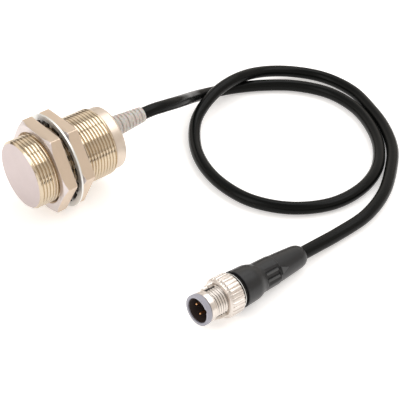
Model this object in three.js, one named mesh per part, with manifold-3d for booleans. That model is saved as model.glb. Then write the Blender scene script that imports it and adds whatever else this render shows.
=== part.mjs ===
// Cylindrical M30 proximity sensor with a short lead and a twist-lock M12 plug.
// Millimetres, +Z up. The sensing head lies along X with its sensing face towards -X,
// the lead and the plug lie on the plane z = 0 beside it.
import * as THREE from "three";
import { mergeVertices } from "three/addons/utils/BufferGeometryUtils.js";
import Module from "manifold-3d";

const wasm = await Module();
wasm.setup();

// ---------- driving dimensions ----------
const HEAD_LENGTH = 44.2; // sensing face to the rear rim of the barrel
const FACE_X = -31.45; // x of the sensing face
const AXIS_Z = 20.7; // height of the head's axis: the washer's rim touches z = 0
const BARREL_R = 15; // M30 thread, major radius
const REAR_R = 14; // plain rear end of the barrel
const BORE_R = 12.6; // inside of the barrel
const FACE_WALL = 1.2; // thickness of the metal sensing face
const NUT_AF = 36; // across flats
const NUT_T = 5.6;
const NUT_CHAMFER = 1.2; // at the corners of the face towards the sensing face
const NUT_EDGE = 0.2; // at the corners of the other face
const NUT_BORE_R = 15.3;
const FRONT_NUT_U = 8.45; // distances u along the axis from the sensing face
const REAR_NUT_U = 17.25;
const WASHER_U = 16.1;
const WASHER_T = 0.85;
const WASHER_R = 20.7;
const TEETH = 16;
const LEAD_R = 2.8; // lead diameter 5.6
const LEAD_Z = 3.4; // the lead leaves this far above the head's axis
const RELIEF_END = 62.9;
const PLUG_TIP = [-19.93, -98.71, 9.8]; // centre of the plug's front edge
const PLUG_YAW = THREE.MathUtils.degToRad(2.4);
const PLUG_TILT = THREE.MathUtils.degToRad(5.38); // tip up: it rests on its ring and its tail
const PLUG_LENGTH = 56;
const RING_R = 8.2;
const SLEEVE_R = 6.0; // M12 thread, major radius
const GAP = 0.3;

// ---------- finishes ----------
const finish = (name, color, roughness, metalness, extra = {}) =>
  Object.assign(
    new THREE.MeshStandardMaterial({ color, roughness, metalness, ...extra }),
    { name },
  );
const nickel = finish("nickel_plated_brass", 0xd2bfa8, 0.3, 1);
const nutNickel = finish("nickel_plated_nut", 0xccb89f, 0.35, 1);
const spring = finish("zinc_plated_spring_steel", 0xcdd2d2, 0.3, 1);
const plugMetal = finish("plug_nickel", 0xe6dccf, 0.3, 1);
const clear = finish("translucent_plastic", 0xe8e6e2, 0.35, 0, {
  transparent: true,
  opacity: 0.6,
});
const black = finish("black_plastic", 0x2b2d2d, 0.55, 0);
const jacket = finish("black_jacket", 0x202322, 0.4, 0);
const grey = finish("grey_plastic", 0xa3a3b0, 0.5, 0);
const rubber = finish("seal_rubber", 0x1b1b1b, 0.7, 0);
const ferrite = finish("ferrite", 0x3a3a3c, 0.7, 0.1);
const bobbinPlastic = finish("bobbin_plastic", 0xd9d2c0, 0.6, 0);
const copper = finish("enamelled_copper", 0xb5652b, 0.4, 0.9);
const board = finish("circuit_laminate", 0x1d5b35, 0.5, 0);
const chip = finish("component_black", 0x191919, 0.6, 0);
const ledMat = finish("led_lens", 0xd8902a, 0.2, 0);
const gold = finish("gold_plated_contact", 0xd49a4a, 0.25, 1);
const brown = finish("brown_wire", 0x5b3620, 0.5, 0);
const blue = finish("blue_wire", 0x1f4fa0, 0.5, 0);

// ---------- helpers ----------
const bare = (g) => {
  const c = g.index ? g.toNonIndexed() : g.clone();
  for (const k of Object.keys(c.attributes))
    if (k !== "position") c.deleteAttribute(k);
  return mergeVertices(c, 1e-4);
};
const volume = (g) => {
  const p = g.attributes.position,
    i = g.index;
  let v = 0;
  const a = new THREE.Vector3(),
    b = new THREE.Vector3(),
    c = new THREE.Vector3();
  for (let t = 0; t < i.count; t += 3) {
    a.fromBufferAttribute(p, i.getX(t));
    b.fromBufferAttribute(p, i.getX(t + 1));
    c.fromBufferAttribute(p, i.getX(t + 2));
    v += a.dot(b.cross(c)) / 6;
  }
  return v;
};
const outward = (g) => {
  const m = bare(g);
  if (volume(m) < 0) {
    const i = m.index;
    for (let t = 0; t < i.count; t += 3) {
      const x = i.getX(t + 1);
      i.setX(t + 1, i.getX(t + 2));
      i.setX(t + 2, x);
    }
  }
  return m;
};
const solid = (g) => {
  const m = outward(g);
  return new wasm.Manifold(
    new wasm.Mesh({
      numProp: 3,
      vertProperties: new Float32Array(m.attributes.position.array),
      triVerts: new Uint32Array(m.index.array),
    }),
  );
};
const geometry = (s) => {
  const m = s.getMesh();
  const g = new THREE.BufferGeometry();
  const n = m.numProp;
  const v = new Float32Array(m.numVert * 3);
  for (let i = 0; i < m.numVert; i++)
    v.set(m.vertProperties.subarray(i * n, i * n + 3), i * 3);
  g.setAttribute("position", new THREE.BufferAttribute(v, 3));
  g.setIndex(new THREE.BufferAttribute(new Uint32Array(m.triVerts), 1));
  return g;
};
// A solid of revolution about X from [u, r] points; closed when it starts and ends off the axis.
const turned = (points, segments = 48, phase = -Math.PI / 2) => {
  const pts = points.map(([u, r]) => new THREE.Vector2(r, u));
  if (points[0][1] > 0 || points[points.length - 1][1] > 0)
    pts.push(pts[0].clone());
  const g = new THREE.LatheGeometry(pts, segments, phase);
  g.rotateZ(-Math.PI / 2);
  return outward(g);
};
// A flat outline in (y, z) extruded along +X from u0 over length t.
const slab = (shape, u0, t, curveSegments = 16) => {
  const g = new THREE.ExtrudeGeometry(shape, {
    depth: t,
    bevelEnabled: false,
    curveSegments,
  });
  // shape x -> Y, shape y -> Z, depth -> X
  g.applyMatrix4(
    new THREE.Matrix4().set(0, 0, 1, u0, 1, 0, 0, 0, 0, 1, 0, 0, 0, 0, 0, 1),
  );
  return outward(g);
};
const box = (sx, sy, sz, x, y, z) => {
  const g = new THREE.BoxGeometry(sx, sy, sz);
  g.translate(x, y, z);
  return outward(g);
};
const circlePath = (r, n, cx = 0, cy = 0) => {
  const p = new THREE.Path();
  for (let i = 0; i < n; i++) {
    const a = -Math.PI / 2 - (2 * Math.PI * i) / n;
    const x = cx + r * Math.cos(a),
      y = cy + r * Math.sin(a);
    if (i) p.lineTo(x, y);
    else p.moveTo(x, y);
  }
  p.closePath();
  return p;
};
const polygon = (pts) => new THREE.Shape(pts.map((p) => new THREE.Vector2(...p)));
const tube = (points, r, steps, sides) => {
  const curve = new THREE.CatmullRomCurve3(
    points.map((p) => new THREE.Vector3(...p)),
    false,
    "centripetal",
  );
  const section = new THREE.Shape();
  for (let i = 0; i < sides; i++) {
    const a = (2 * Math.PI * (i + 0.5)) / sides;
    if (i) section.lineTo(r * Math.cos(a), r * Math.sin(a));
    else section.moveTo(r * Math.cos(a), r * Math.sin(a));
  }
  section.closePath();
  return outward(
    new THREE.ExtrudeGeometry(section, {
      steps,
      bevelEnabled: false,
      extrudePath: curve,
    }),
  );
};

const sensor = new THREE.Group();
const head = new THREE.Group();
head.position.set(FACE_X, 0, AXIS_Z);
sensor.add(head);
const plug = new THREE.Group();
plug.position.set(...PLUG_TIP);
plug.rotation.set(0, PLUG_TILT, PLUG_YAW, "ZYX");
sensor.add(plug);
const add = (group, name, geo, material) => {
  const m = new THREE.Mesh(geo, material);
  m.name = name;
  group.add(m);
  return m;
};

// ---------- head: barrel ----------
add(
  head,
  "sensor_housing",
  turned(
    [
      [0, 0],
      [0, 14.4],
      [0.6, BARREL_R],
      [38.6, BARREL_R],
      [39.2, REAR_R],
      [43.0, REAR_R],
      [43.8, REAR_R - 0.3],
      [HEAD_LENGTH, REAR_R - 0.9],
      [HEAD_LENGTH, BORE_R],
      [FACE_WALL, BORE_R],
      [FACE_WALL, 0],
    ],
    60,
  ),
  nickel,
);

// ---------- head: sensing unit ----------
add(
  head,
  "ferrite_pot_core",
  turned(
    [
      [1.6, 1.4],
      [1.6, 5.0],
      [7.4, 5.0],
      [7.4, 10.4],
      [1.6, 10.4],
      [1.6, 12.1],
      [9.6, 12.1],
      [9.6, 1.4],
    ],
    32,
  ),
  ferrite,
);
add(
  head,
  "coil_bobbin",
  turned(
    [
      [1.8, 5.25],
      [1.8, 10.15],
      [2.4, 10.15],
      [2.4, 5.85],
      [6.5, 5.85],
      [6.5, 10.15],
      [7.1, 10.15],
      [7.1, 5.25],
    ],
    32,
  ),
  bobbinPlastic,
);
add(
  head,
  "sensing_coil",
  turned(
    [
      [2.65, 6.1],
      [2.65, 9.8],
      [6.25, 9.8],
      [6.25, 6.1],
    ],
    32,
  ),
  copper,
);
// the holder keeps the core against the face and the board's end in a slot
{
  const disc = solid(
    turned(
      [
        [9.9, 0],
        [9.9, 12.2],
        [13.4, 12.2],
        [13.4, 0],
      ],
      32,
    ),
  );
  const slot = solid(box(3, 20.6, 2.2, 13.4, 0, 0));
  add(head, "core_holder", geometry(disc.subtract(slot)), bobbinPlastic);
}

// ---------- head: electronics ----------
add(head, "circuit_board", box(24.4, 20, 1.6, 24.5, 0, 0), board);
add(head, "oscillator_chip", box(6, 5, 1.5, 20, -3, 0.85 + 0.75), chip);
add(head, "output_transistor", box(4.4, 6.2, 2.2, 28.6, 4.2, 0.85 + 1.1), chip);
add(head, "filter_capacitor", box(3.4, 2.8, 2.6, 19.5, 4.6, 0.85 + 1.3), copper);
add(head, "protection_diode", box(2.8, 4.4, 2.1, 27.6, -5, 0.85 + 1.05), chip);
add(head, "indicator_led", box(2.6, 2.8, 1.8, 35, -7, 0.85 + 0.9), ledMat);
for (const [name, y, mat] of [
  ["lead_wire_brown", 1.25, brown],
  ["lead_wire_blue", -1.25, blue],
])
  add(
    head,
    name,
    tube(
      [
        [37.55, y, LEAD_Z],
        [36.2, y, LEAD_Z - 0.1],
        [34.6, y * 1.3, LEAD_Z - 1.0],
        [33.0, y * 1.8, 1.62],
        [31.8, y * 2.0, 1.6],
      ],
      0.6,
      8,
      8,
    ),
    mat,
  );

// ---------- head: rear closure ----------
{
  const cap = solid(
    turned(
      [
        [40.6, 0],
        [40.6, 12.3],
        [41.6, 12.3],
        [41.6, 11.6],
        [43.1, 11.6],
        [43.1, 12.3],
        [HEAD_LENGTH - 0.2, 12.3],
        [HEAD_LENGTH + 0.3, 11.6],
        [HEAD_LENGTH + 0.3, 0],
      ],
      40,
    ),
  );
  const hole = turned(
    [
      [38, 0],
      [38, LEAD_R + 0.2],
      [48, LEAD_R + 0.2],
      [48, 0],
    ],
    20,
  );
  hole.translate(0, 0, LEAD_Z);
  add(head, "rear_cap", geometry(cap.subtract(solid(hole))), clear);
}
add(
  head,
  "cap_seal",
  turned(
    [
      [41.75, 11.75],
      [41.75, 12.45],
      [42.95, 12.45],
      [42.95, 11.75],
    ],
    32,
  ),
  rubber,
);
// tapered ribbed sleeve that keeps the lead from kinking at the cap
{
  const pts = [[HEAD_LENGTH + 0.6, LEAD_R + 0.2]];
  const rings = 8,
    u0 = HEAD_LENGTH + 0.6,
    u1 = RELIEF_END;
  const r = (u) => 4.75 - (1.35 * (u - u0)) / (u1 - u0);
  const step = (u1 - u0) / rings;
  for (let i = 0; i < rings; i++) {
    const a = u0 + i * step;
    pts.push([a, r(a)], [a + step * 0.62, r(a + step * 0.62)]);
    if (i < rings - 1)
      pts.push(
        [a + step * 0.68, r(a) - 0.55],
        [a + step * 0.94, r(a) - 0.55],
      );
    else pts.push([u1, r(u1)]);
  }
  pts.push([u1, LEAD_R + 0.2]);
  const g = turned(pts, 24);
  g.translate(0, 0, LEAD_Z);
  add(head, "strain_relief", g, clear);
}
{
  const clampRing = turned(
    [
      [38.3, LEAD_R + 0.15],
      [38.3, 3.9],
      [40.3, 3.9],
      [40.3, LEAD_R + 0.15],
    ],
    20,
  );
  clampRing.translate(0, 0, LEAD_Z);
  add(head, "cable_clamp", clampRing, spring);
  const tail = turned(
    [
      [37.9, 0],
      [37.9, LEAD_R],
      [RELIEF_END - 0.05, LEAD_R],
      [RELIEF_END - 0.05, 0],
    ],
    16,
  );
  tail.translate(0, 0, LEAD_Z);
  add(head, "cable_tail", tail, jacket);
}

// ---------- head: nuts and washer ----------
const nut = (u0, turn) => {
  const R = NUT_AF / 2 / Math.cos(Math.PI / 6);
  const hex = polygon(
    [0, 1, 2, 3, 4, 5].map((i) => {
      const a = (i * Math.PI) / 3 + THREE.MathUtils.degToRad(turn);
      return [R * Math.cos(a), R * Math.sin(a)];
    }),
  );
  hex.holes.push(circlePath(NUT_BORE_R, 60));
  // a drum with 30 degree ends takes off the corners
  const slope = Math.tan(Math.PI / 6);
  const front = R - NUT_CHAMFER / slope,
    rear = R - NUT_EDGE / slope;
  const drum = turned(
    [
      [u0, 0],
      [u0, front],
      [u0 + 2 * NUT_CHAMFER, front + (2 * NUT_CHAMFER) / slope],
      [u0 + NUT_T - 2 * NUT_EDGE, rear + (2 * NUT_EDGE) / slope],
      [u0 + NUT_T, rear],
      [u0 + NUT_T, 0],
    ],
    60,
  );
  return geometry(solid(slab(hex, u0, NUT_T)).intersect(solid(drum)));
};
add(head, "front_nut", nut(FRONT_NUT_U, 0.6), nutNickel);
add(head, "rear_nut", nut(REAR_NUT_U, -1.4), nutNickel);
{
  const ring = new THREE.Shape();
  const n = 64;
  for (let i = 0; i < n; i++) {
    const a = -Math.PI / 2 + (2 * Math.PI * i) / n;
    const x = WASHER_R * Math.cos(a),
      y = WASHER_R * Math.sin(a);
    if (i) ring.lineTo(x, y);
    else ring.moveTo(x, y);
  }
  ring.closePath();
  // internal teeth between a root circle of 18.2 and a tip circle of 15.5
  const hole = new THREE.Path();
  const at = (r, a, first) => {
    const x = r * Math.cos(a),
      y = r * Math.sin(a);
    if (first) hole.moveTo(x, y);
    else hole.lineTo(x, y);
  };
  const p = (2 * Math.PI) / TEETH;
  for (let i = 0; i < TEETH; i++) {
    const a = -i * p;
    at(18.2, a, i === 0);
    at(18.2, a - 0.3 * p);
    at(15.5, a - 0.36 * p);
    at(15.45, a - 0.65 * p);
    at(15.5, a - 0.94 * p);
  }
  hole.closePath();
  ring.holes.push(hole);
  add(head, "toothed_lock_washer", slab(ring, WASHER_U, WASHER_T), spring);
}

// ---------- lead ----------
// centreline of the free lead, from the strain relief to the plug's tail
const ROUTE = [
  [31.90, 0.00, 24.10], [37.50, 0.00, 23.95], [43.75, 0.31, 22.95], [51.52, 1.94, 20.69],
  [59.18, 5.46, 17.18], [66.65, 10.31, 12.79], [76.15, 15.20, 7.97], [86.89, 17.05, 4.61],
  [99.17, 14.90, 3.09], [111.69, 7.89, 2.98], [123.69, -2.85, 3.00], [131.46, -17.80, 3.00],
  [131.57, -35.08, 2.97], [125.45, -51.05, 3.00], [115.71, -64.99, 3.00], [102.12, -75.86, 2.95],
  [86.24, -81.02, 2.95], [69.49, -79.95, 2.95], [54.66, -71.01, 2.97], [45.50, -56.62, 2.95],
  [43.45, -39.61, 2.95], [47.05, -22.51, 2.98], [55.30, -7.40, 3.10], [67.33, 4.92, 4.86],
  [82.96, 11.05, 8.32], [99.49, 13.34, 9.17], [116.63, 13.39, 6.24], [130.82, 6.62, 3.90],
  [139.85, -6.21, 3.05], [141.62, -23.60, 2.95], [136.74, -40.18, 2.95], [129.84, -55.39, 2.95],
  [119.76, -69.41, 2.95], [106.81, -80.16, 2.95], [91.54, -89.55, 2.95], [75.09, -94.89, 2.95],
  [57.63, -95.83, 3.02], [46.88, -96.00, 3.58], [40.25, -96.19, 4.13], [36.12, -96.36, 4.52],
];
add(sensor, "cable_jacket", tube(ROUTE, LEAD_R, 80, 10), jacket);

// ---------- plug: u runs from the tip to the tail ----------
const PIN_AT = [
  [2.72, 0.35],
  [0.35, -2.72],
];
add(
  plug,
  "plug_shell",
  turned(
    [
      [0, 4.95],
      [0, 5.85],
      [0.3, 6.15],
      [1.9, 6.15],
      [1.9, 5.2],
      [18.2, 5.2],
      [18.2, 4.6],
      [1.6, 4.6],
    ],
    36,
  ),
  grey,
);
{
  const face = new THREE.Shape();
  const n = 28,
    r = 4.3;
  for (let i = 0; i < n; i++) {
    const a = (2 * Math.PI * i) / n;
    if (i) face.lineTo(r * Math.cos(a), r * Math.sin(a));
    else face.moveTo(r * Math.cos(a), r * Math.sin(a));
  }
  face.closePath();
  for (const [y, z] of PIN_AT) face.holes.push(circlePath(0.6, 10, y, z));
  add(plug, "contact_insert", slab(face, 8, 10.2), black);
}
PIN_AT.forEach(([y, z], i) => {
  const pin = turned(
    [
      [1.8, 0],
      [1.85, 0.25],
      [2.2, 0.5],
      [18.4, 0.5],
      [18.4, 0],
    ],
    10,
  );
  pin.translate(0, y, z);
  add(plug, "contact_pin_" + (i + 1), pin, gold);
});
// the locking ring turns as one piece: a sleeve with a part thread and two cam windows, and a grip
{
  const whole = solid(
    turned(
      [
        [2.2, 5.5],
        [2.2, 5.8],
        [2.4, SLEEVE_R],
        [10.4, SLEEVE_R],
        [10.6, 7.9],
        [10.9, RING_R],
        [17.2, RING_R],
        [17.5, 7.9],
        [17.5, 7.0],
        [15.6, 7.0],
        [15.6, 5.5],
      ],
      36,
    ),
  );
  const cam = (degrees) => {
    const g = box(5.2, 3.6, 6.2, 7.6, 6.2, 0);
    g.rotateX(THREE.MathUtils.degToRad(degrees));
    return solid(g);
  };
  add(
    plug,
    "locking_ring",
    geometry(whole.subtract(cam(46)).subtract(cam(226))),
    plugMetal,
  );
}
add(
  plug,
  "retaining_ring",
  turned(
    [
      [17.85, 5.6],
      [17.85, 7.5],
      [18.35, 7.5],
      [18.35, 5.6],
    ],
    32,
  ),
  spring,
);
add(
  plug,
  "connector_body",
  turned(
    [
      [18.7, 0],
      [18.7, 7.1],
      [19.1, 7.6],
      [27.2, 7.2],
      [30.6, 6.2],
      [31.1, 6.2],
      [39.0, 5.92],
      [40.6, 5.75],
      [53.0, 4.82],
      [54.8, 4.5],
      [PLUG_LENGTH, 3.1],
      [PLUG_LENGTH, 0],
    ],
    32,
  ),
  black,
);

export default sensor;
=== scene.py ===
import math

import bmesh
import bpy
import numpy as np
from mathutils import Matrix, Vector


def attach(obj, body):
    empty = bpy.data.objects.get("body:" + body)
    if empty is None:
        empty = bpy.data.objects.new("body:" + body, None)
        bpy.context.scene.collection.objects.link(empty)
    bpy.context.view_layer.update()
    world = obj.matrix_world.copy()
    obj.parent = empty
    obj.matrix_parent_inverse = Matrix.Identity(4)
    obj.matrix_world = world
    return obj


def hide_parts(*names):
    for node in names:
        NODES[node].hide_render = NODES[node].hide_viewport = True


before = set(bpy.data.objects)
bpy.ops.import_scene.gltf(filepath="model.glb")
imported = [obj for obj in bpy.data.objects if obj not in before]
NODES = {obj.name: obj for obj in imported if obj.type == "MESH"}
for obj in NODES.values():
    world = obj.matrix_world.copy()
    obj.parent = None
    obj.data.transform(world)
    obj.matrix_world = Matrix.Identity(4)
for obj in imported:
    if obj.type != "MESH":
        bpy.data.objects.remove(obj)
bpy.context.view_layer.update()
MM = 0.001
TAU = 2 * math.pi

# ------------------------------------------------------------------ camera
cam_data = bpy.data.cameras.new("camera")
cam_data.sensor_width = 36.0
cam_data.lens = 97.2
cam_data.clip_start, cam_data.clip_end = 0.01, 50
cam = bpy.data.objects.new("camera", cam_data)
bpy.context.scene.collection.objects.link(cam)
_r = Vector((0.7644, -0.6447, 0.0)).normalized()
_f = Vector((0.5084, 0.6027, -0.6150)).normalized()
_u = _r.cross(_f).normalized()
CAM_AT = Vector((-0.20397, -0.31854, 0.28488))
cam.matrix_world = Matrix(
    (
        (_r.x, _u.x, -_f.x, CAM_AT.x),
        (_r.y, _u.y, -_f.y, CAM_AT.y),
        (_r.z, _u.z, -_f.z, CAM_AT.z),
        (0, 0, 0, 1),
    )
)
bpy.context.scene.camera = cam

# ------------------------------------------------------------------ frames of the two ends, in mm
FACE_X, AXIS_Z = -31.45, 20.7
HEAD = Matrix.Translation((FACE_X, 0, AXIS_Z))
PLUG_TIP = Vector((-19.93, -98.71, 9.8))
YAW, TILT = math.radians(2.4), math.radians(5.38)
PLUG = (
    Matrix.Translation(PLUG_TIP)
    @ Matrix.Rotation(YAW, 4, "Z")
    @ Matrix.Rotation(TILT, 4, "Y")
)
LEAD_R, LEAD_Z = 2.8, 3.4
PLUG_LENGTH = 56.0


# ------------------------------------------------------------------ node helpers
def new_material(name):
    m = bpy.data.materials.new(name)
    m.use_nodes = True
    nt = m.node_tree
    nt.nodes.clear()
    out = nt.nodes.new("ShaderNodeOutputMaterial")
    b = nt.nodes.new("ShaderNodeBsdfPrincipled")
    nt.links.new(b.outputs[0], out.inputs[0])
    return m, nt, b


def n_coord(nt, scale=(1, 1, 1), kind="Object"):
    tc = nt.nodes.new("ShaderNodeTexCoord")
    mp = nt.nodes.new("ShaderNodeMapping")
    mp.inputs["Scale"].default_value = scale
    nt.links.new(tc.outputs[kind], mp.inputs["Vector"])
    return mp.outputs["Vector"]


def n_noise(nt, vec, scale, detail=4.0, rough=0.55, distort=0.0):
    n = nt.nodes.new("ShaderNodeTexNoise")
    n.inputs["Scale"].default_value = scale
    n.inputs["Detail"].default_value = detail
    n.inputs["Roughness"].default_value = rough
    n.inputs["Distortion"].default_value = distort
    nt.links.new(vec, n.inputs["Vector"])
    return n.outputs["Fac"]


def n_range(nt, fac, a, b, lo=0.0, hi=1.0):
    r = nt.nodes.new("ShaderNodeMapRange")
    r.inputs["From Min"].default_value = lo
    r.inputs["From Max"].default_value = hi
    r.inputs["To Min"].default_value = a
    r.inputs["To Max"].default_value = b
    nt.links.new(fac, r.inputs["Value"])
    return r.outputs["Result"]


def n_ramp(nt, fac, stops):
    r = nt.nodes.new("ShaderNodeValToRGB")
    e = r.color_ramp.elements
    while len(e) > 1:
        e.remove(e[-1])
    e[0].position, e[0].color = stops[0][0], (*stops[0][1], 1)
    for p, c in stops[1:]:
        k = e.new(p)
        k.color = (*c, 1)
    nt.links.new(fac, r.inputs["Fac"])
    return r.outputs["Color"]


def n_math(nt, op, a, b):
    m = nt.nodes.new("ShaderNodeMath")
    m.operation = op
    for i, v in enumerate((a, b)):
        if isinstance(v, (int, float)):
            m.inputs[i].default_value = v
        else:
            nt.links.new(v, m.inputs[i])
    return m.outputs[0]


def n_bump(nt, b, heights):
    """heights: list of (height socket, distance in metres, strength), stacked."""
    last = None
    for h, dist, strength in heights:
        k = nt.nodes.new("ShaderNodeBump")
        k.inputs["Distance"].default_value = dist
        k.inputs["Strength"].default_value = strength
        nt.links.new(h, k.inputs["Height"])
        if last is not None:
            nt.links.new(last, k.inputs["Normal"])
        last = k.outputs["Normal"]
    nt.links.new(last, b.inputs["Normal"])


def dark_of(c, k):
    return tuple(max(0.0, x * k) for x in c)


def metal(name, colour, rough, grain=(1, 1, 1), grain_scale=900, grain_depth=0.0, spread=0.05, cloud=0.05, aniso=0.0):
    """A plated metal: cloudy tone, uneven polish and a fine directional grain."""
    m, nt, b = new_material(name)
    b.inputs["Metallic"].default_value = 1.0
    plain = n_coord(nt)
    tone = n_noise(nt, plain, 130, 4, 0.6)
    nt.links.new(
        n_ramp(nt, tone, [(0.25, dark_of(colour, 1 - cloud)), (0.75, dark_of(colour, 1 + cloud * 0.6))]),
        b.inputs["Base Color"],
    )
    g = n_coord(nt, grain)
    fine = n_noise(nt, g, grain_scale, 3, 0.6)
    wide = n_noise(nt, plain, 320, 3, 0.5)
    nt.links.new(
        n_math(nt, "ADD", n_range(nt, fine, rough - spread, rough + spread), n_range(nt, wide, -0.03, 0.03)),
        b.inputs["Roughness"],
    )
    if aniso:
        b.inputs["Anisotropic"].default_value = aniso
    if grain_depth:
        n_bump(nt, b, [(fine, grain_depth, 0.5), (wide, grain_depth * 2.0, 0.3)])
    return m


def plastic(name, colour, rough, vary=0.12, grain_scale=2600, grain_depth=0.00002, strength=0.35, **inputs):
    m, nt, b = new_material(name)
    plain = n_coord(nt)
    tone = n_noise(nt, plain, 90, 4, 0.6)
    nt.links.new(
        n_ramp(nt, tone, [(0.3, dark_of(colour, 1 - vary)), (0.7, dark_of(colour, 1 + vary))]),
        b.inputs["Base Color"],
    )
    fine = n_noise(nt, plain, grain_scale, 2, 0.5)
    mid = n_noise(nt, plain, 400, 3, 0.5)
    nt.links.new(
        n_math(nt, "ADD", n_range(nt, mid, rough - 0.05, rough + 0.05), n_range(nt, fine, -0.03, 0.03)),
        b.inputs["Roughness"],
    )
    n_bump(nt, b, [(fine, grain_depth, strength)])
    for k, v in inputs.items():
        b.inputs[k.replace("_", " ")].default_value = v
    return m


BARREL = metal("nickel_barrel", (0.61, 0.515, 0.39), 0.15, (1, 1, 1), 1400, 0.000004, 0.04, 0.05)
# painted light: a pinker copy of the barrel nickel for the front face, tinted for the warm floor light it reflects
FACE_PAINTED_LIGHT = metal("nickel_face_painted_light", (0.555, 0.480, 0.475), 0.38, (1, 1, 1), 1800, 0.000008, 0.05, 0.03)
REAR = metal("nickel_rear_rim", (0.68, 0.59, 0.505), 0.40, (1, 1, 1), 1400, 0.000006, 0.05, 0.05)
# painted light: a lighter, pinker copy of the nut nickel for the turned faces and chamfers, which face the bright floor
NUT_FACE_PAINTED_LIGHT = metal("nickel_nut_face_painted_light", (0.665, 0.605, 0.595), 0.36, (1, 1, 1), 1500, 0.000008, 0.06, 0.04)
NUT = metal("nickel_nut", (0.69, 0.567, 0.452), 0.34, (1, 0.18, 0.18), 1500, 0.00001, 0.06, 0.05)
WASHER = metal("washer_steel", (0.80, 0.805, 0.785), 0.46, (1, 1, 1), 1500, 0.00001, 0.07, 0.06)
# painted shade: a near-black copy of the washer steel for the inner teeth, standing in for the shade in the gap between
# the nuts
TOOTH_PAINTED_SHADE = metal("washer_tooth_painted_shade", (0.045, 0.040, 0.032), 0.42, (1, 1, 1), 1500, 0.00001, 0.07, 0.2)
PLUG_METAL = metal("plug_nickel", (0.70, 0.645, 0.60), 0.30, (0.25, 1, 1), 1600, 0.000006, 0.05, 0.04)
CLEAR = plastic(
    "clear_plastic", (0.54, 0.505, 0.47), 0.42, 0.04, 1400, 0.00001, 0.3,
    IOR=1.49, Subsurface_Weight=0.25, Subsurface_Scale=0.0015,
)
JACKET = plastic("cable_jacket", (0.0042, 0.0047, 0.0044), 0.25, 0.04, 1500, 0.000010, 0.3, Specular_IOR_Level=0.10)
# painted light: a lighter, glossier copy of the black overmould, so the ribs and arrow read as lit
RIB_PAINTED_LIGHT = plastic("overmould_rib_painted_light", (0.050, 0.052, 0.055), 0.30, 0.1, 3000, 0.00001, 0.3, Specular_IOR_Level=0.5)
BODY = plastic("overmould_black", (0.0085, 0.0092, 0.0108), 0.33, 0.15, 3000, 0.00001, 0.35, Specular_IOR_Level=0.40)
INSERT = plastic("insert_black", (0.040, 0.029, 0.027), 0.55, Specular_IOR_Level=0.3)
SHELL = plastic("shell_grey", (0.33, 0.33, 0.385), 0.45, 0.06, 2600, 0.00001, 0.3)
RUBBER = plastic("seal_rubber", (0.02, 0.02, 0.02), 0.65)
# painted shade: a near-black matte plastic laid where shade falls, on the lock ring's window floors, a disc behind the
# snap ring and the body's front chamfer
SHADE_BLACK = plastic("painted_shade_black", (0.012, 0.011, 0.010), 0.6, Specular_IOR_Level=0.25)
GOLD = metal("contact_gold", (0.95, 0.50, 0.24), 0.30, (1, 1, 1), 2000, 0.000003, 0.04, 0.06)


# ------------------------------------------------------------------ mesh helpers
def piece(name, verts, faces, at, materials, body, replaces=(), sharp=32, index=None, weld=2e-7):
    """A mesh from millimetre points in a local frame."""
    v = np.asarray(verts, float) * 1.0
    m = np.array(at, float)
    v = (v @ m[:3, :3].T + m[:3, 3]) * MM
    me = bpy.data.meshes.new(name)
    me.from_pydata(v.tolist(), [], faces)
    if index is not None:
        me.polygons.foreach_set("material_index", index)
    bm = bmesh.new()
    bm.from_mesh(me)
    bmesh.ops.remove_doubles(bm, verts=bm.verts, dist=weld)
    bmesh.ops.dissolve_degenerate(bm, edges=bm.edges, dist=weld)
    bmesh.ops.recalc_face_normals(bm, faces=bm.faces)
    bm.to_mesh(me)
    bm.free()
    me.polygons.foreach_set("use_smooth", [True] * len(me.polygons))
    me.set_sharp_from_angle(angle=math.radians(sharp))
    for mat in materials if isinstance(materials, (list, tuple)) else [materials]:
        me.materials.append(mat)
    o = bpy.data.objects.new(name, me)
    bpy.context.scene.collection.objects.link(o)
    if body:
        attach(o, body)
    if replaces:
        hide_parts(*replaces)
    return o


class Soup:
    """Verts and faces gathered before they become one mesh."""

    def __init__(self):
        self.v, self.f, self.m = [], [], []

    def add(self, verts, faces, mat=0):
        n = len(self.v)
        self.v += [tuple(map(float, p)) for p in verts]
        self.f += [tuple(i + n for i in q) for q in faces]
        self.m += [mat] * len(faces) if isinstance(mat, int) else list(mat)


def ring_grid(rows, phi, closed):
    """rows: list of (u, r), each a number or an array over phi. Returns verts and quads about the X axis."""
    m = len(phi)
    verts, faces, at = [], [], []
    for u, r in rows:
        u = np.broadcast_to(np.asarray(u, float), (m,))
        r = np.broadcast_to(np.asarray(r, float), (m,))
        if np.all(r < 1e-9):
            at.append(("pole", len(verts)))
            verts.append((float(u[0]), 0.0, 0.0))
        else:
            at.append(("ring", len(verts)))
            verts += list(zip(u, r * np.cos(phi), r * np.sin(phi)))
    pairs = [(i, i + 1) for i in range(len(rows) - 1)] + ([(len(rows) - 1, 0)] if closed else [])
    for i, k in pairs:
        (ka, a), (kb, b) = at[i], at[k]
        for j in range(m):
            j2 = (j + 1) % m
            if ka == "ring" and kb == "ring":
                faces.append((a + j, a + j2, b + j2, b + j))
            elif ka == "pole" and kb == "ring":
                faces.append((a, b + j2, b + j))
            elif ka == "ring" and kb == "pole":
                faces.append((a + j, a + j2, b))
    return verts, faces


def even(m, start=0.0):
    return start + np.arange(m) * TAU / m


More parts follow.
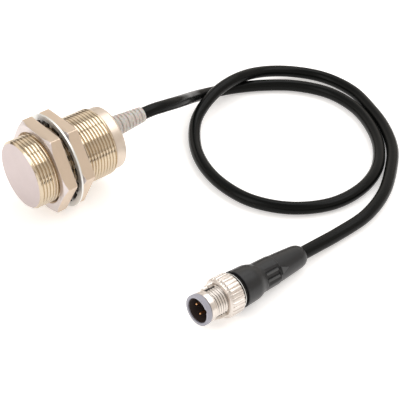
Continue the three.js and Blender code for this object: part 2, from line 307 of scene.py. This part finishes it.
def threaded(u0, u1, pitch, profile, radius, m, envelope, hole=None):
    """The outer skin of a right-hand thread between u0 and u1: rows follow the helix, and all of them end in flat circles.
    profile: list of (share of the pitch, drop below the radius); envelope(u) caps the radius; hole(u, phi, r) may lower it."""
    n = len(profile)
    turns = int(math.ceil((u1 - u0) / pitch)) + 2
    phi = even(m)
    rows = []
    for k in range(n * turns + 1):
        t, d = profile[k % n]
        raw = u0 - pitch + pitch * (k // n + t + phi / TAU)
        u = np.clip(raw, u0, u1)
        r = np.minimum(radius - d, envelope(u))
        if hole is not None:
            r = hole(u, phi, r)
        rows.append((u, r))
    verts = []
    for u, r in rows:
        verts += list(zip(u, r * np.cos(phi), r * np.sin(phi)))
    faces = []
    last = len(rows) - 1
    for k in range(last):
        a, b = k * m, (k + 1) * m
        for j in range(m - 1):
            faces.append((a + j, a + j + 1, b + j + 1, b + j))
        if k + n + 1 <= last:
            faces.append((a + m - 1, (k + n) * m, (k + n + 1) * m, b + m - 1))
    return verts, faces


def box_faces():
    return [(0, 1, 3, 2), (4, 6, 7, 5), (0, 4, 5, 1), (2, 3, 7, 6), (0, 2, 6, 4), (1, 5, 7, 3)]


def rounded_prism(outline, axis0, axis1, up, h0, h1, origin, edge):
    """A low raised shape: an outline in two directions, from h0 to h1 along up, with a bevelled top."""
    o, a, b, n = (np.array(x, float) for x in (origin, axis0, axis1, up))
    pts = np.array(outline, float)
    c = pts.mean(0)
    shrink = pts + (c - pts) / np.linalg.norm(c - pts, axis=1)[:, None] * edge
    k = len(pts)
    verts = [o + a * p[0] + b * p[1] + n * h0 for p in pts]
    verts += [o + a * p[0] + b * p[1] + n * (h1 - edge) for p in pts]
    verts += [o + a * p[0] + b * p[1] + n * h1 for p in shrink]
    faces = [tuple(range(k))[::-1], tuple(range(2 * k, 3 * k))]
    for s in (0, k):
        for i in range(k):
            faces.append((s + i, s + (i + 1) % k, s + k + (i + 1) % k, s + k + i))
    return verts, faces


# ------------------------------------------------------------------ the lead
ROUTE = [
    (31.90, 0.00, 24.10), (37.50, 0.00, 23.95), (43.75, 0.31, 22.95), (51.52, 1.94, 20.69),
    (59.18, 5.46, 17.18), (66.65, 10.31, 12.79), (76.15, 15.20, 7.97), (86.89, 17.05, 4.61),
    (99.17, 14.90, 3.09), (111.69, 7.89, 2.98), (123.69, -2.85, 3.00), (131.46, -17.80, 3.00),
    (131.57, -35.08, 2.97), (125.45, -51.05, 3.00), (115.71, -64.99, 3.00), (102.12, -75.86, 2.95),
    (86.24, -81.02, 2.95), (69.49, -79.95, 2.95), (54.66, -71.01, 2.97), (45.50, -56.62, 2.95),
    (43.45, -39.61, 2.95), (47.05, -22.51, 2.98), (55.30, -7.40, 3.10), (67.33, 4.92, 4.86),
    (82.96, 11.05, 8.32), (99.49, 13.34, 9.17), (116.63, 13.39, 6.24), (130.82, 6.62, 3.90),
    (139.85, -6.21, 3.05), (141.62, -23.60, 2.95), (136.74, -40.18, 2.95), (129.84, -55.39, 2.95),
    (119.76, -69.41, 2.95), (106.81, -80.16, 2.95), (91.54, -89.55, 2.95), (75.09, -94.89, 2.95),
    (57.63, -95.83, 3.02), (46.88, -96.00, 3.58), (40.25, -96.19, 4.13), (36.12, -96.36, 4.52),
]


def lead_curve():
    p = [np.array(q) for q in ROUTE]
    start = p[0] - np.array((1.2, 0, 0))
    tail_axis = np.array(PLUG.to_3x3() @ Vector((1, 0, 0)))
    end = p[-1] - tail_axis * 1.6
    p = [start] + p + [end]
    ext = [2 * p[0] - p[1]] + p + [2 * p[-1] - p[-2]]
    cu = bpy.data.curves.new("cable_jacket_lead", "CURVE")
    cu.dimensions = "3D"
    sp = cu.splines.new("BEZIER")
    sp.bezier_points.add(len(p) - 1)
    left, right = {}, {}
    for i in range(len(p) - 1):
        p0, p1, p2, p3 = ext[i], ext[i + 1], ext[i + 2], ext[i + 3]
        d1, d2, d3 = (math.sqrt(max(1e-6, np.linalg.norm(b - a))) for a, b in ((p0, p1), (p1, p2), (p2, p3)))
        right[i] = (d1 * d1 * p2 - d2 * d2 * p0 + (2 * d1 * d1 + 3 * d1 * d2 + d2 * d2) * p1) / (3 * d1 * (d1 + d2))
        left[i + 1] = (d3 * d3 * p1 - d2 * d2 * p3 + (2 * d3 * d3 + 3 * d3 * d2 + d2 * d2) * p2) / (3 * d3 * (d3 + d2))
    for i, bp in enumerate(sp.bezier_points):
        bp.handle_left_type = bp.handle_right_type = "FREE"
        bp.co = p[i] * MM
        bp.handle_left = left.get(i, p[i] - (right.get(i, p[i]) - p[i])) * MM
        bp.handle_right = right.get(i, p[i] - (left.get(i, p[i]) - p[i])) * MM
    sp.resolution_u = 10
    cu.bevel_depth = LEAD_R * MM
    cu.bevel_resolution = 7
    cu.use_fill_caps = True
    cu.materials.append(JACKET)
    sp.use_smooth = True
    o = bpy.data.objects.new("cable_jacket_lead", cu)
    bpy.context.scene.collection.objects.link(o)
    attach(o, "sensor")
    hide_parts("cable_jacket")
    return o


lead = lead_curve()

# ------------------------------------------------------------------ head: barrel
THREAD = [
    (0.00, 0.0), (0.16, 0.0), (0.32, 0.0), (0.365, 0.045), (0.57, 0.60), (0.61, 0.69),
    (0.66, 0.71), (0.71, 0.69), (0.75, 0.60), (0.955, 0.045),
]


def barrel():
    s = Soup()
    m = 144
    phi = even(m)
    u0, u1 = 0.0, 39.2

    def cap(u):
        front = 14.15 + (u - u0) * 1.15
        rear = 14.0 + (u1 - u) * 1.0
        return np.minimum(np.minimum(front, rear), 15.0)

    v, f = threaded(u0, u1, 1.5, THREAD, 15.0, m, cap)
    s.add(v, f)
    # painted light: the front face takes the pinker copy of the nickel
    v, f = ring_grid([(0, 0), (0, 3), (0, 7), (0, 11), (0, 13.2), (0, 13.95), (0, 14.15)], phi, False)
    s.add(v, f, 1)
    v, f = ring_grid(
        [
            (39.2, 14.0), (41.0, 14.0), (42.9, 14.0), (43.4, 13.93), (43.8, 13.7), (44.05, 13.4), (44.2, 13.1),
            (44.2, 12.7), (44.1, 12.6), (42, 12.6), (30, 12.6), (1.2, 12.6), (1.2, 0),
        ],
        phi, False,
    )
    s.add(v, f, 2)
    return piece(
        "barrel", s.v, s.f, HEAD, [BARREL, FACE_PAINTED_LIGHT, REAR], "sensor", ("sensor_housing",), 28, s.m
    )


barrel()


# ------------------------------------------------------------------ head: nuts
def hex_phi(turn):
    out = []
    for k in range(6):
        c = k * 60.0 + turn
        out += [c + d for d in (-1.6, -1.15, -0.8, -0.45, 0, 0.45, 0.8, 1.15, 1.6)]
        out += [c + d for d in np.linspace(3.2, 56.8, 19)]
    return np.radians(np.array(sorted(x % 360 for x in out)))


def hex_radius(phi, apothem, turn, fillet):
    th = (phi - math.radians(turn)) % (math.pi / 3) - math.pi / 6  # from the flat's own middle
    flat = apothem / np.cos(th)
    d = (apothem - fillet) / math.cos(math.pi / 6)
    a = math.pi / 6 - np.abs(th)
    arc = d * np.cos(a) + np.sqrt(np.maximum(0, fillet**2 - (d * np.sin(a)) ** 2))
    tangent = math.atan2((apothem - fillet) * math.tan(math.pi / 6), apothem)
    return np.where(np.abs(th) <= tangent, flat, np.where(d * np.sin(a) < fillet, arc, flat))


def nut(name, node, body, u0, turn):
    phi = hex_phi(turn)
    R = hex_radius(phi, 18.0, turn, 0.35)
    T, bore = 5.6, 15.16
    slope = math.tan(math.radians(30))

    def end(depth):
        """Rows from the bore over one face to the flats, for a corner chamfer of this depth."""
        rc = 18.0 / math.cos(math.pi / 6) - depth / slope
        rr = np.minimum(R, rc)
        cut = np.maximum(0.0, R - rc) * slope
        return [
            (0.85, bore), (0.45, 15.55), (0.07, 15.94), (0.0, 16.04), (0.0, 16.7), (0.0, 17.3), (0.0, rr - 0.10), (0.018, rr - 0.025),
            (0.03 + cut * 0.5, rr + (R - rr) * 0.5 - 0.004), (0.045 + cut * 0.97, R - 0.012 - (R - rr) * 0.03), (0.10 + cut, R),
        ]

    rows = end(1.2) + [(T * 0.4, R), (T * 0.6, R), (T * 0.8, R)]
    rows += [(T - u, r) for u, r in reversed(end(0.2))]
    rows += [(T * 0.5, bore)]
    v, f = ring_grid([(u0 + u, r) for u, r in rows], phi, True)
    arr = np.array(v)
    du, rad = arr[:, 0] - u0, np.hypot(arr[:, 1], arr[:, 2])
    # painted light: turned faces and chamfers take the lighter, pinker copy; the flats keep the plain nut nickel
    index = []
    for q in f:
        a, r = du[list(q)], rad[list(q)]
        turned_face = r.max() - r.min() > 1.4 * (a.max() - a.min()) and r.min() > bore + 0.2
        index.append(1 if turned_face else 0)
    return piece(name, v, f, HEAD, [NUT, NUT_FACE_PAINTED_LIGHT], body, (node,), 24, index)


nut("front_clamp_nut", "front_nut", "front_nut", 8.45, 0.6)
nut("rear_clamp_nut", "rear_nut", "rear_nut", 17.25, -1.4)


# ------------------------------------------------------------------ head: lock washer with twisted inner teeth
def washer():
    teeth, ro, root, tip = 16, 20.7, 18.25, 15.55
    pitch = 360 / teeth
    phi, kind = [], []
    for k in range(teeth):
        a = k * pitch
        # a short light step, an open slot, then a tooth bent back out of the washer's plane
        for d, s in [
            (0, 2), (1.1, 2), (2.2, 2), (3.3, 2), (3.5, 0), (4.6, 0), (6.0, 0), (7.4, 0), (7.6, 1), (9.4, 1), (11.2, 1),
            (13.0, 1), (14.8, 1), (16.6, 1), (16.8, 0), (18.3, 0), (19.8, 0), (21.2, 0), (22.3, 0),
        ]:
            phi.append(a + d)
            kind.append(s)
    phi = np.radians(np.array(phi))
    kind = np.array(kind)
    on = kind == 1
    step = kind == 2
    t0, t1, c = 16.1, 16.95, 0.09
    rows = [(t0, ro - c - 0.02), (t0 + c, ro), (t1 - c, ro), (t1, ro - c - 0.02), (t1, root + 0.25)]
    inner = np.where(on, tip, np.where(step, 17.2, root))
    for k, bend in [(0.0, 0.0), (0.45, 0.12), (1.0, 0.25)]:
        r = (root + 0.06) + (inner - root - 0.06) * k
        rows.append((t1 + np.where(on, bend * 0.9, 0.0) - (c if k == 1 else 0), r))
    for k, bend in [(1.0, 0.25), (0.45, 0.12), (0.0, 0.0)]:
        r = (root + 0.06) + (inner - root - 0.06) * k
        rows.append((t0 + np.where(on, bend * 1.8, 0.0) + (c if k == 1 else 0), r))
    rows.append((t0, root + 0.25))
    v, f = ring_grid(rows, phi, True)
    arr = np.array(v)
    rad = np.hypot(arr[:, 1], arr[:, 2])
    ang = np.degrees(np.arctan2(arr[:, 2], arr[:, 1])) % pitch
    # painted shade: faces of the teeth inside the root take the near-black steel; the step and the rest keep the plain
    # washer steel
    index = []
    for q in f:
        rm = rad[list(q)].mean()
        am = ang[list(q)]
        mid = am.mean() if am.max() - am.min() < pitch / 2 else 0.0
        index.append(1 if rm < root - 0.02 and mid > 4.0 else 0)
    return piece(
        "tooth_washer", v, f, HEAD, [WASHER, TOOTH_PAINTED_SHADE], "lock_washer", ("toothed_lock_washer",), 26, index
    )


washer()


# ------------------------------------------------------------------ head: rear closure and strain relief
def rear_closure():
    phi = even(96)
    rows = [
        (40.6, 3.05), (40.6, 12.3), (41.6, 12.3), (41.6, 11.6), (43.1, 11.6), (43.1, 12.45), (44.1, 12.45), (44.45, 12.2),
        (44.62, 11.4), (44.72, 9.5), (44.74, 7.6), (44.74, 7.2), (44.74, 3.05),
    ]
    # the hole is off centre, so the inner loop moves up with the lead
    verts, faces = ring_grid(rows, phi, True)
    v = np.array(verts)
    r = np.hypot(v[:, 1], v[:, 2])
    inner = r < 4
    v[inner, 2] += LEAD_Z
    piece("rear_cap_moulding", v, faces, HEAD, CLEAR, "sensor", ("rear_cap",), 40)


rear_closure()


def relief():
    """A tapered sleeve of rings; each gap between rings is a groove, deep on two sides and shallow where it is bridged
    on the other two.
    """
    m = 96
    phi = even(m)
    u0, u1 = 44.74, 62.9
    count = 9
    step = (u1 - u0 - 1.5) / count
    rad = lambda u: 4.85 - 1.45 * (u - u0) / (u1 - u0)
    rows = [(u0, 3.02), (u0, 6.1), (u0 + 0.25, 6.0), (u0 + 0.7, 5.2), (u0 + 1.3, 4.85)]
    for i in range(count):
        a = u0 + 1.5 + i * step
        r = rad(a)
        turn = math.radians(45 if i % 2 else 135)
        bridge = np.clip((np.abs(np.cos(phi - turn)) - 0.82) / 0.10, 0, 1)
        drop = 0.10 + (1 - bridge) * 0.38
        rr = r - 0.0
        rows += [
            (a, rr - 0.10), (a + 0.10, rr), (a + step * 0.55, rr - 0.02), (a + step * 0.62, rr - 0.12),
        ]
        if i < count - 1:
            rows += [
                (a + step * 0.66, rr - 0.15 - drop * 0.9), (a + step * 0.72, rr - 0.2 - drop),
                (a + step * 0.90, rr - 0.2 - drop), (a + step * 0.95, rr - 0.15 - drop * 0.9),
            ]
    rows += [(u1 - 0.25, rad(u1)), (u1 - 0.05, rad(u1) - 0.12), (u1, rad(u1) - 0.25), (u1, 2.84)]
    rows += [(u1 - 0.4, 2.84)]
    v, f = ring_grid(rows, phi, True)
    v = np.array(v)
    v[:, 2] += LEAD_Z
    return piece("strain_relief_sleeve", v, f, HEAD, CLEAR, "sensor", ("strain_relief",), 35)


relief()

# ------------------------------------------------------------------ plug: shell, insert, contacts
KEY = math.radians(150)


def plug_shell():
    m = 120
    phi = even(m)
    key = np.abs((phi - KEY + math.pi) % TAU - math.pi) < math.radians(7)
    lip = np.where(key, 5.45, 4.98)
    rows = [
        (1.2, 4.98), (1.2, np.where(key, 5.40, 4.98)), (0.12, lip), (0.0, lip + 0.08), (0.0, 5.5), (0.0, 5.95), (0.07, 6.08), (0.22, 6.15), (1.9, 6.15),
        (1.9, 5.2), (18.2, 5.2), (18.2, 4.98),
    ]
    v, f = ring_grid(rows, phi, True)
    piece("plug_shell_moulding", v, f, PLUG, SHELL, "sensor", ("plug_shell",), 32)
    rows = [
        (0.55, 4.94), (0.5, 4.90), (0.5, 4.80), (0.6, 4.76), (7.9, 4.7), (8.0, 4.6), (8.0, 3.0), (8.0, 0), (18.2, 0), (18.2, 4.94),
    ]
    rows = [(8.0, 0), (8.0, 3.0), (8.0, 4.6), (7.9, 4.7), (0.6, 4.76), (0.5, 4.80), (0.5, 4.90), (0.55, 4.94), (18.2, 4.94), (18.2, 0)]
    v, f = ring_grid(rows, phi, False)
    s = Soup()
    s.add(v, f)
    # collars round the four contact places
    for y, z in ((2.72, 0.35), (0.35, -2.72), (-2.72, -0.35), (-0.35, 2.72)):
        v, f = ring_grid([(7.99, 0.62), (7.99, 1.05), (7.72, 1.05), (7.66, 0.98), (7.66, 0.68), (7.72, 0.62)], even(24), True)
        v = np.array(v)
        v[:, 1] += y
        v[:, 2] += z
        s.add(v, f)
    piece("contact_carrier", s.v, s.f, PLUG, INSERT, "sensor", ("contact_insert",), 32)
    for i, (y, z) in enumerate(((2.72, 0.35), (0.35, -2.72))):
        rows = [(1.8, 0), (1.82, 0.16), (1.92, 0.32), (2.1, 0.44), (2.35, 0.5), (10, 0.5), (18.4, 0.5), (18.4, 0)]
        v, f = ring_grid(rows, even(28), False)
        v = np.array(v)
        v[:, 1] += y
        v[:, 2] += z
        piece(f"contact_{i + 1}", v, f, PLUG, GOLD, "sensor", (f"contact_pin_{i + 1}",), 40)


plug_shell()

# ------------------------------------------------------------------ plug: locking ring
WINDOWS = (math.radians(46), math.radians(226))
SLEEVE_THREAD = [(0.0, 0.0), (0.16, 0.0), (0.24, 0.05), (0.45, 0.40), (0.55, 0.46), (0.65, 0.40), (0.86, 0.05), (0.94, 0.0)]


def locking_ring():
    s = Soup()
    m = 192
    phi = even(m)
    u0, u1 = 4.6, 10.7

    def cap(u):
        return np.minimum(6.0, 6.4)

    def cut(u, p, r):
        for w in WINDOWS:
            d = np.abs((p - w + math.pi) % TAU - math.pi)
            inside = (d < math.radians(31)) & (u > 5.0) & (u < 10.35)
            r = np.where(inside, 5.62, r)
        return r

    def fade(u):
        return 5.54 + np.minimum(0.46, np.minimum(np.abs(u - u0) * 4 + 0.0, np.abs(u1 - u) * 4))

    v, f = threaded(u0, u1, 1.15, SLEEVE_THREAD, 6.0, m, lambda u: np.full_like(u, 6.0), cut)
    # flat circles at both ends
    v = np.array(v)
    end = (v[:, 0] <= u0 + 1e-9) | (v[:, 0] >= u1 - 1e-9)
    ang = np.arctan2(v[end, 2], v[end, 1])
    v[end, 1], v[end, 2] = 5.9 * np.cos(ang), 5.9 * np.sin(ang)
    # painted shade: faces of the window floors, below r 5.63, take the near-black shade material
    fr = [np.mean([math.hypot(v[i][1], v[i][2]) for i in q]) for q in f]
    fi = [1 if x < 5.63 else 0 for x in fr]
    s.add(v, f, fi)
    v, f = ring_grid([(4.6, 5.9), (4.5, 6.0), (2.45, 6.0), (2.3, 5.95), (2.2, 5.8), (2.2, 5.5), (10.7, 5.5), (10.7, 5.9)], phi, False)
    s.add(v, f)
    # the grip, with shallow grooves along it
    flutes = 28
    per = 12
    phi = even(flutes * per)
    x = (np.arange(flutes * per) % per) / per
    g = np.clip(1 - np.abs(x - 0.5) / 0.21, 0, 1)
    g = g * g * (3 - 2 * g)
    crown = 0.03 * np.cos((x - 0.0) * TAU)
    R = 8.2
    body = R - 0.03 + crown - 0.34 * g
    rows = [
        (10.45, 5.75), (10.45, 6.7), (10.6, 7.1), (10.8, 7.45 - 0.05 * g), (11.15, 7.85 - 0.18 * g), (11.5, body - 0.10), (11.8, body),
        (14.0, body), (16.5, body), (16.85, body - 0.03), (17.02, body - 0.16), (17.1, 7.7), (17.1, 7.1), (17.0, 7.0), (15.6, 7.0), (15.6, 5.75),
    ]
    v, f = ring_grid(rows, phi, True)
    s.add(v, f)
    # a spring lug in each window
    for w in WINDOWS:
        n = np.array((0, math.cos(w), math.sin(w)))
        t = np.array((0, -math.sin(w), math.cos(w)))
        a = np.array((1, 0, 0))
        v, f = rounded_prism([(-2.2, -1.0), (2.45, -1.25), (2.45, 1.25), (-2.2, 1.0)], a, t, n, 5.4, 6.35, a * 7.9, 0.22)
        s.add(v, f)
        v, f = rounded_prism([(-1.1, -1.5), (1.3, -1.7), (1.3, 1.7), (-1.1, 1.5)], a, t, n, 5.4, 6.85, a * 9.1, 0.3)
        s.add(v, f)
    return piece("twist_lock_ring", s.v, s.f, PLUG, [PLUG_METAL, SHADE_BLACK], "locking_ring", ("locking_ring",), 30, s.m)


locking_ring()


def retaining_ring():
    rows = []
    for k in range(12):
        a = TAU * k / 12
        rows.append((18.1 + 0.17 * math.cos(a), 7.28 + 0.2 * math.sin(a)))
    s = Soup()
    v, f = ring_grid(rows, even(96), True)
    s.add(v, f)
    # painted shade: a near-black disc behind the snap ring stands in for the shaded gap in front of the body
    v, f = ring_grid([(17.95, 5.6), (17.95, 7.15), (18.25, 7.15), (18.25, 5.6)], even(96), True)
    s.add(v, f, 1)
    piece("snap_ring", s.v, s.f, PLUG, [WASHER, SHADE_BLACK], "sensor", ("retaining_ring",), 40, s.m)


retaining_ring()


# ------------------------------------------------------------------ plug: moulded body
def plug_body():
    m = 180
    phi = even(m)
    panels = (KEY, KEY + math.pi)

    def r0(u):
        return np.interp(
            u,
            [18.9, 19.6, 19.72, 20.0, 26.2, 27.2, 28.3, 29.6, 30.5, 31.1, 39.0, 39.25, 39.6, 45, 52, 53.4, 54.6, 55.4, 55.85, 56.0],
            [6.4, 6.75, 7.35, 7.56, 7.32, 7.2, 6.9, 6.42, 6.2, 6.15, 5.95, 5.75, 5.72, 5.4, 4.9, 4.72, 4.35, 3.9, 3.4, 3.05],
        )

    us = sorted(
        set(
            [18.9, 19.2, 19.6, 19.72, 19.85, 20.0, 21, 23, 25, 26.2, 26.7, 27.2, 27.7, 28.3, 29, 29.6, 30.1, 30.5, 30.8, 31.1]
            + [31.3, 31.5, 31.9, 33, 34.5, 36, 37.4, 38.4, 38.8, 39.0, 39.25, 39.6, 40.2, 42, 45, 48, 52, 53.4, 54, 54.6, 55, 55.4, 55.7, 55.85, 56.0]
        )
    )
    rows = [(18.7, 0), (18.7, 6.1), (18.8, 6.3)]
    for u in us:
        r = np.full(m, float(r0(u)))
        if 31.2 < u < 38.9:
            edge = min(1.0, (u - 31.2) / 0.5, (38.9 - u) / 0.3)
            for p in panels:
                d = (phi - p + math.pi) % TAU - math.pi
                flat = 5.05 / np.maximum(0.2, np.cos(d))
                low = np.minimum(r, flat)
                r = np.where(np.abs(d) < math.radians(50), r + (low - r) * edge, r)
        rows.append((u, r))
    rows.append((56.0, 0))
    s = Soup()
    v, f = ring_grid(rows, phi, False)
    ua = np.array(v)[:, 0]
    # painted shade: the front chamfer, up to u 19.7, takes the near-black shade material
    s.add(v, f, [1 if ua[list(q)].max() < 19.7 else 0 for q in f])
    for p in panels:
        n = np.array((0, math.cos(p), math.sin(p)))
        t = np.array((0, -math.sin(p), math.cos(p)))
        a = np.array((1, 0, 0))
        # painted light: the ribs and arrow take the lighter copy of the overmould
        for off in (-1.35, 1.35):
            v, f = rounded_prism([(-3.3, -0.5), (3.3, -0.5), (3.3, 0.5), (-3.3, 0.5)], a, t, n, 4.7, 5.82, a * 34.9 + t * off, 0.26)
            s.add(v, f, 2)
        v, f = rounded_prism([(-1.9, -1.7), (1.9, 0), (-1.9, 1.7)], a, t, n, 4.7, 6.05, a * 41.3, 0.3)
        s.add(v, f, 2)
    return piece("plug_body_moulding", s.v, s.f, PLUG, [BODY, SHADE_BLACK, RIB_PAINTED_LIGHT], "sensor", ("connector_body",), 38, s.m)


plug_body()

# ------------------------------------------------------------------ carried-over nodes inside
INNER = {
    "ferrite_pot_core": plastic("ferrite", (0.035, 0.035, 0.04), 0.55, 0.2, 900, 0.00004, 0.6),
    "coil_bobbin": plastic("bobbin_plastic", (0.62, 0.55, 0.42), 0.5),
    "core_holder": plastic("holder_plastic", (0.60, 0.53, 0.40), 0.5),
    "sensing_coil": metal("coil_copper", (0.70, 0.30, 0.12), 0.35, (6, 1, 1), 900, 0.00006, 0.08, 0.15),
    "circuit_board": plastic("circuit_laminate", (0.03, 0.16, 0.06), 0.4, 0.2),
    "oscillator_chip": plastic("component_black", (0.02, 0.02, 0.02), 0.5),
    "filter_capacitor": plastic("capacitor_tan", (0.42, 0.25, 0.09), 0.45),
    "indicator_led": plastic("led_amber", (0.75, 0.33, 0.05), 0.2, Transmission_Weight=0.5),
    "lead_wire_brown": plastic("wire_brown", (0.12, 0.05, 0.025), 0.4),
    "lead_wire_blue": plastic("wire_blue", (0.03, 0.08, 0.30), 0.4),
    "cap_seal": RUBBER,
    "cable_clamp": WASHER,
    "cable_tail": JACKET,
}
INNER["output_transistor"] = INNER["protection_diode"] = INNER["oscillator_chip"]
for node, material in INNER.items():
    o = NODES[node]
    o.data.materials.clear()
    o.data.materials.append(material)

# ------------------------------------------------------------------ studio
scene = bpy.context.scene
scene.view_settings.view_transform = "Standard"
scene.view_settings.look = "None"

world = bpy.data.worlds.new("studio")
scene.world = world
world.use_nodes = True
wn = world.node_tree
wn.nodes.clear()
w_out = wn.nodes.new("ShaderNodeOutputWorld")
w_bg = wn.nodes.new("ShaderNodeBackground")
wn.links.new(w_bg.outputs[0], w_out.inputs[0])
w_tc = wn.nodes.new("ShaderNodeTexCoord")
w_sep = wn.nodes.new("ShaderNodeSeparateXYZ")
wn.links.new(w_tc.outputs["Generated"], w_sep.inputs[0])
w_back = n_ramp(
    wn,
    w_sep.outputs["Z"],
    [(0.0, (0.14, 0.11, 0.08)), (0.10, (0.12, 0.09, 0.065)), (0.17, (0.70, 0.63, 0.56)), (0.30, (1.30, 1.22, 1.13)), (0.50, (1.20, 1.14, 1.06)), (0.62, (0.70, 0.68, 0.65)), (1.0, (0.42, 0.41, 0.41))],
)
w_front = n_ramp(
    wn,
    w_sep.outputs["Z"],
    [(0.0, (0.46, 0.42, 0.38)), (0.05, (0.42, 0.38, 0.34)), (0.13, (0.88, 0.82, 0.75)), (0.32, (0.93, 0.86, 0.79)), (0.60, (0.74, 0.70, 0.65)), (1.0, (0.42, 0.41, 0.41))],
)
w_mix = wn.nodes.new("ShaderNodeMix")
w_mix.data_type = "RGBA"
wn.links.new(n_range(wn, w_sep.outputs["Y"], 0.0, 1.0, -0.25, 0.25), w_mix.inputs[0])
wn.links.new(w_front, w_mix.inputs[6])
wn.links.new(w_back, w_mix.inputs[7])
wn.links.new(w_mix.outputs[2], w_bg.inputs["Color"])
w_bg.inputs["Strength"].default_value = 1.0


def panel(name, at, size, radiance, aim=(0, 0, -1), colour=(1, 1, 1)):
    ld = bpy.data.lights.new(name, "AREA")
    ld.shape = "RECTANGLE"
    ld.size, ld.size_y = size
    ld.energy = radiance * math.pi * size[0] * size[1]
    ld.color = colour
    o = bpy.data.objects.new(name, ld)
    o.location = at
    o.rotation_mode = "QUATERNION"
    o.rotation_quaternion = Vector(aim).to_track_quat("-Z", "Y")
    o.visible_camera = False
    scene.collection.objects.link(o)
    return o


panel("softbox_back", (0.525, 0.245, 0.85), (0.65, 0.43), 2.6)
panel("softbox_front", (0.525, -0.375, 0.85), (0.65, 0.62), 2.6)
panel("fill_left", (-0.95, 0.15, 0.75), (0.6, 1.0), 1.6, (0.80, -0.10, -0.60))

floor_mesh = bpy.data.meshes.new("floor")
floor_mesh.from_pydata([(-6, -6, -0.0002), (6, -6, -0.0002), (6, 6, -0.0002), (-6, 6, -0.0002)], [], [(0, 1, 2, 3)])
floor = bpy.data.objects.new("floor", floor_mesh)
scene.collection.objects.link(floor)
fm, fnt, fb = new_material("floor_white")
fvec = n_coord(fnt)
fnt.links.new(n_ramp(fnt, n_noise(fnt, fvec, 3, 2), [(0.0, (0.90, 0.895, 0.89)), (1.0, (0.93, 0.925, 0.92))]), fb.inputs["Base Color"])
fb.inputs["Roughness"].default_value = 0.8
fb.inputs["Specular IOR Level"].default_value = 0.1
fb.inputs["Emission Color"].default_value = (1.0, 0.985, 0.975, 1)
fb.inputs["Emission Strength"].default_value = 0.42
floor_mesh.materials.append(fm)
